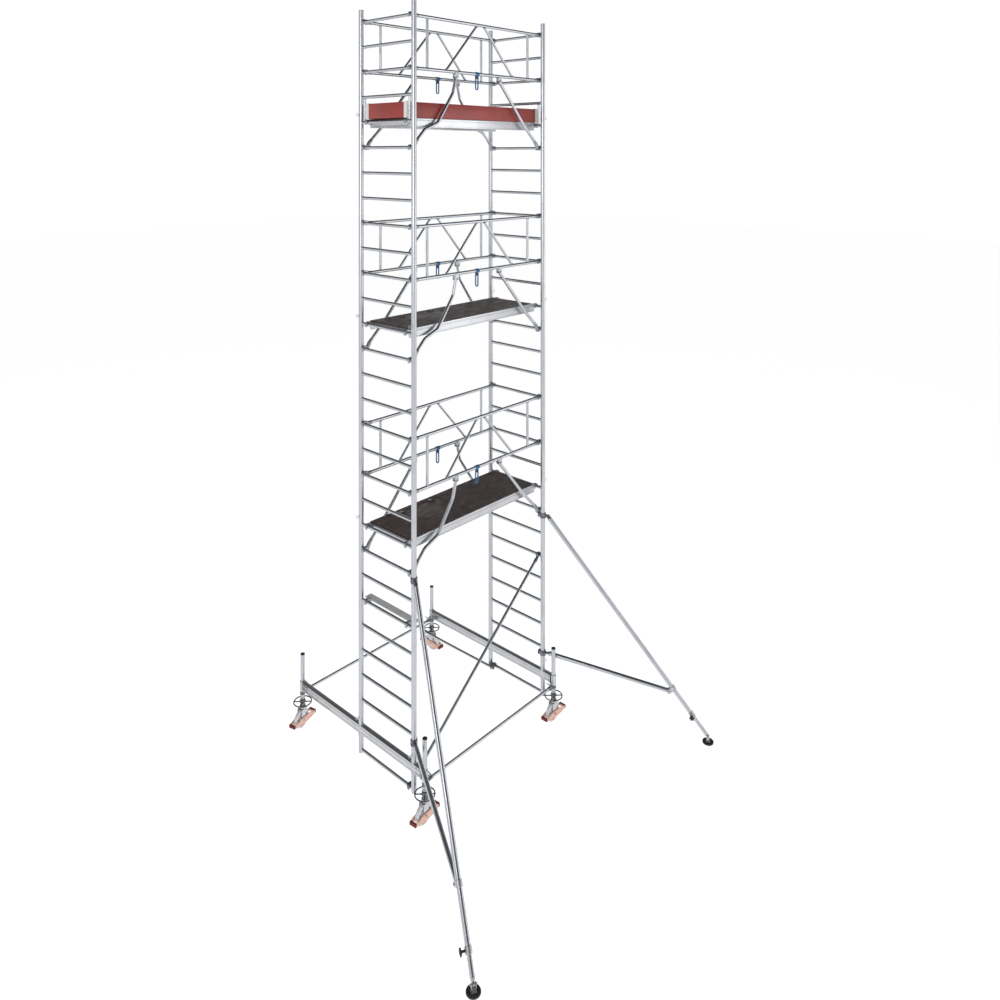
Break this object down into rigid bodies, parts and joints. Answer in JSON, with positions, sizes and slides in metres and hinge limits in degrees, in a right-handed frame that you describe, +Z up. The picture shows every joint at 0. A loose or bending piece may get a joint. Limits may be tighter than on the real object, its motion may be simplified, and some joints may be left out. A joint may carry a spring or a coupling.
{
  "type": "mobile tower scaffold",
  "caption": "Tall narrow aluminium rolling scaffold tower with ladder frames, platforms, guardrails, toe boards, chassis beams, braked castors and telescopic stabilisers.",
  "frame": {"origin": "middle of the footprint on the floor, under the tower", "axes": "+X along the platforms, +Y away from the stabilisers, +Z up"},
  "size_m": [3.655, 3.5818, 7.615],
  "materials": {
    "aluminium_tube": "satin",
    "aluminium_profile": "satin extruded",
    "zinc_steel": "zinc plated",
    "cast_coupler": "dark galvanised",
    "plywood_deck": "phenolic film, dark brown",
    "toe_board_red": "brick-red varnish",
    "white_plastic": "moulded",
    "black_plastic": "moulded",
    "blue_plastic": "moulded",
    "castor_tyre": "off-white polyamide",
    "brake_steel": "salmon-red paint",
    "black_rubber": "matt"
  },
  "bodies": {
    "tower": {"chassis_beams": "aluminium_profile", "frames_1m": "aluminium_tube", "frames_2m_lower": "aluminium_tube", "frames_2m_middle": "aluminium_tube", "frames_2m_upper": "aluminium_tube", "frame_connectors": "zinc_steel", "castor_brackets": "zinc_steel", "bracket_fasteners": "zinc_steel", "spindle_tubes": "aluminium_tube", "spindle_tube_caps": "black_plastic", "base_braces": "aluminium_tube", "brace_fittings": "cast_coupler", "step_board": "aluminium_profile", "guardrails_top": "aluminium_tube", "guardrails_middle": "aluminium_tube", "guardrails_lower": "aluminium_tube", "guardrail_claws": "cast_coupler", "leg_brackets": "cast_coupler", "grip_loops": "blue_plastic", "platform_frame_top": "aluminium_profile", "platform_frame_middle": "aluminium_profile", "platform_frame_lower": "aluminium_profile", "decks": "plywood_deck", "hatch_knuckles": "zinc_steel", "toe_boards": "toe_board_red", "toe_board_holders": "white_plastic", "corner_bars": "aluminium_tube"},
    "hand_wheel_front_left": {"hand_wheel_front_left": "cast_coupler"},
    "spindle_front_left": {"spindle_front_left": "zinc_steel"},
    "fork_front_left": {"fork_front_left": "zinc_steel"},
    "wheel_front_left": {"wheel_front_left": "castor_tyre"},
    "brake_front_left": {"brake_front_left": "brake_steel"},
    "hand_wheel_rear_left": {"hand_wheel_rear_left": "cast_coupler"},
    "spindle_rear_left": {"spindle_rear_left": "zinc_steel"},
    "fork_rear_left": {"fork_rear_left": "zinc_steel"},
    "wheel_rear_left": {"wheel_rear_left": "castor_tyre"},
    "brake_rear_left": {"brake_rear_left": "brake_steel"},
    "hand_wheel_front_right": {"hand_wheel_front_right": "cast_coupler"},
    "spindle_front_right": {"spindle_front_right": "zinc_steel"},
    "fork_front_right": {"fork_front_right": "zinc_steel"},
    "wheel_front_right": {"wheel_front_right": "castor_tyre"},
    "brake_front_right": {"brake_front_right": "brake_steel"},
    "hand_wheel_rear_right": {"hand_wheel_rear_right": "cast_coupler"},
    "spindle_rear_right": {"spindle_rear_right": "zinc_steel"},
    "fork_rear_right": {"fork_rear_right": "zinc_steel"},
    "wheel_rear_right": {"wheel_rear_right": "castor_tyre"},
    "brake_rear_right": {"brake_rear_right": "brake_steel"},
    "hatch_top": {"hatch_top": "plywood_deck"},
    "hatch_middle": {"hatch_middle": "plywood_deck"},
    "hatch_lower": {"hatch_lower": "plywood_deck"},
    "stabiliser_left": {"stabiliser_leg_left": "aluminium_tube", "stabiliser_clamps_left": "cast_coupler"},
    "stabiliser_inner_leg_left": {"stabiliser_inner_leg_left": "aluminium_tube"},
    "stabiliser_foot_left": {"stabiliser_foot_left": "black_rubber"},
    "star_knob_left": {"star_knob_left": "black_plastic"},
    "stabiliser_right": {"stabiliser_leg_right": "aluminium_tube", "stabiliser_clamps_right": "cast_coupler"},
    "stabiliser_inner_leg_right": {"stabiliser_inner_leg_right": "aluminium_tube"},
    "stabiliser_foot_right": {"stabiliser_foot_right": "black_rubber"},
    "star_knob_right": {"star_knob_right": "black_plastic"}
  },
  "joints": [
    {"name": "hand_wheel_front_left_turn", "type": "hinge", "parent": "tower", "child": "hand_wheel_front_left", "pos_m": [-0.95, -0.3021, 0.27], "axis": [0, 0, 1], "range_deg": [0, 8990]},
    {"name": "spindle_front_left_height", "type": "slide", "parent": "tower", "child": "spindle_front_left", "axis": [0, 0, -1], "range_m": [0, 0.25]},
    {"name": "castor_front_left_swivel", "type": "hinge", "parent": "spindle_front_left", "child": "fork_front_left", "pos_m": [-0.95, -0.3021, 0.214], "axis": [0, 0, 1], "continuous": true},
    {"name": "wheel_front_left_spin", "type": "hinge", "parent": "fork_front_left", "child": "wheel_front_left", "pos_m": [-0.97192, -0.30402, 0.1], "axis": [-0.0872, 0.9962, 0], "continuous": true},
    {"name": "brake_front_left_rock", "type": "hinge", "parent": "fork_front_left", "child": "brake_front_left", "pos_m": [-0.97192, -0.30402, 0.1], "axis": [-0.0872, 0.9962, 0], "range_deg": [-6, 6]},
    {"name": "hand_wheel_rear_left_turn", "type": "hinge", "parent": "tower", "child": "hand_wheel_rear_left", "pos_m": [-0.95, 1.6379, 0.27], "axis": [0, 0, 1], "range_deg": [0, 8990]},
    {"name": "spindle_rear_left_height", "type": "slide", "parent": "tower", "child": "spindle_rear_left", "axis": [0, 0, -1], "range_m": [0, 0.25]},
    {"name": "castor_rear_left_swivel", "type": "hinge", "parent": "spindle_rear_left", "child": "fork_rear_left", "pos_m": [-0.95, 1.6379, 0.214], "axis": [0, 0, 1], "continuous": true},
    {"name": "wheel_rear_left_spin", "type": "hinge", "parent": "fork_rear_left", "child": "wheel_rear_left", "pos_m": [-0.97144, 1.63295, 0.1], "axis": [-0.225, 0.9744, 0], "continuous": true},
    {"name": "brake_rear_left_rock", "type": "hinge", "parent": "fork_rear_left", "child": "brake_rear_left", "pos_m": [-0.97144, 1.63295, 0.1], "axis": [-0.225, 0.9744, 0], "range_deg": [-6, 6]},
    {"name": "hand_wheel_front_right_turn", "type": "hinge", "parent": "tower", "child": "hand_wheel_front_right", "pos_m": [0.95, -0.3021, 0.27], "axis": [0, 0, 1], "range_deg": [0, 8990]},
    {"name": "spindle_front_right_height", "type": "slide", "parent": "tower", "child": "spindle_front_right", "axis": [0, 0, -1], "range_m": [0, 0.25]},
    {"name": "castor_front_right_swivel", "type": "hinge", "parent": "spindle_front_right", "child": "fork_front_right", "pos_m": [0.95, -0.3021, 0.214], "axis": [0, 0, 1], "continuous": true},
    {"name": "wheel_front_right_spin", "type": "hinge", "parent": "fork_front_right", "child": "wheel_front_right", "pos_m": [0.928, -0.3021, 0.1], "axis": [0, 1, 0], "continuous": true},
    {"name": "brake_front_right_rock", "type": "hinge", "parent": "fork_front_right", "child": "brake_front_right", "pos_m": [0.928, -0.3021, 0.1], "axis": [0, 1, 0], "range_deg": [-6, 6]},
    {"name": "hand_wheel_rear_right_turn", "type": "hinge", "parent": "tower", "child": "hand_wheel_rear_right", "pos_m": [0.95, 1.6379, 0.27], "axis": [0, 0, 1], "range_deg": [0, 8990]},
    {"name": "spindle_rear_right_height", "type": "slide", "parent": "tower", "child": "spindle_rear_right", "axis": [0, 0, -1], "range_m": [0, 0.25]},
    {"name": "castor_rear_right_swivel", "type": "hinge", "parent": "spindle_rear_right", "child": "fork_rear_right", "pos_m": [0.95, 1.6379, 0.214], "axis": [0, 0, 1], "continuous": true},
    {"name": "wheel_rear_right_spin", "type": "hinge", "parent": "fork_rear_right", "child": "wheel_rear_right", "pos_m": [0.95077, 1.61591, 0.1], "axis": [-0.9994, -0.0349, 0], "continuous": true},
    {"name": "brake_rear_right_rock", "type": "hinge", "parent": "fork_rear_right", "child": "brake_rear_right", "pos_m": [0.95077, 1.61591, 0.1], "axis": [-0.9994, -0.0349, 0], "range_deg": [-6, 6]},
    {"name": "hatch_top_hinge", "type": "hinge", "parent": "tower", "child": "hatch_top", "pos_m": [0, 0.4694, 6.5275], "axis": [-1, 0, 0], "range_deg": [0, 90]},
    {"name": "hatch_middle_hinge", "type": "hinge", "parent": "tower", "child": "hatch_middle", "pos_m": [0, 0.4694, 4.5275], "axis": [-1, 0, 0], "range_deg": [0, 90]},
    {"name": "hatch_lower_hinge", "type": "hinge", "parent": "tower", "child": "hatch_lower", "pos_m": [0, 0.4694, 2.5275], "axis": [-1, 0, 0], "range_deg": [0, 90]},
    {"name": "stabiliser_left_swing", "type": "hinge", "parent": "tower", "child": "stabiliser_left", "pos_m": [-0.95, -0.1521, 0.68], "axis": [0, 0, 1], "range_deg": [-45, 8]},
    {"name": "stabiliser_left_telescope", "type": "slide", "parent": "stabiliser_left", "child": "stabiliser_inner_leg_left", "axis": [-0.2908, -0.5557, -0.7789], "range_m": [0, 0.4]},
    {"name": "stabiliser_left_foot_tilt", "type": "hinge", "parent": "stabiliser_inner_leg_left", "child": "stabiliser_foot_left", "pos_m": [-1.77, -1.7191, 0.062], "axis": [0.886, -0.4636, 0], "range_deg": [-20, 20]},
    {"name": "star_knob_left_turn", "type": "hinge", "parent": "stabiliser_left", "child": "star_knob_left", "pos_m": [-1.74086, -1.60022, 0.2096], "axis": [-0.886, 0.4636, 0], "range_deg": [0, 720]},
    {"name": "stabiliser_right_swing", "type": "hinge", "parent": "tower", "child": "stabiliser_right", "pos_m": [0.95, -0.1521, 0.68], "axis": [0, 0, 1], "range_deg": [-8, 45]},
    {"name": "stabiliser_right_telescope", "type": "slide", "parent": "stabiliser_right", "child": "stabiliser_inner_leg_right", "axis": [0.2908, -0.5557, -0.7789], "range_m": [0, 0.4]},
    {"name": "stabiliser_right_foot_tilt", "type": "hinge", "parent": "stabiliser_inner_leg_right", "child": "stabiliser_foot_right", "pos_m": [1.77, -1.7191, 0.062], "axis": [0.886, 0.4636, 0], "range_deg": [-20, 20]},
    {"name": "star_knob_right_turn", "type": "hinge", "parent": "stabiliser_right", "child": "star_knob_right", "pos_m": [1.66825, -1.58785, 0.26503], "axis": [-0.886, -0.4636, 0], "range_deg": [0, 720]}
  ],
  "couplings": [
    {"joint": "spindle_front_left_height", "follows": "hand_wheel_front_left_turn", "m_per_rad": 0.0015915},
    {"joint": "spindle_rear_left_height", "follows": "hand_wheel_rear_left_turn", "m_per_rad": 0.0015915},
    {"joint": "spindle_front_right_height", "follows": "hand_wheel_front_right_turn", "m_per_rad": 0.0015915},
    {"joint": "spindle_rear_right_height", "follows": "hand_wheel_rear_right_turn", "m_per_rad": 0.0015915}
  ]
}
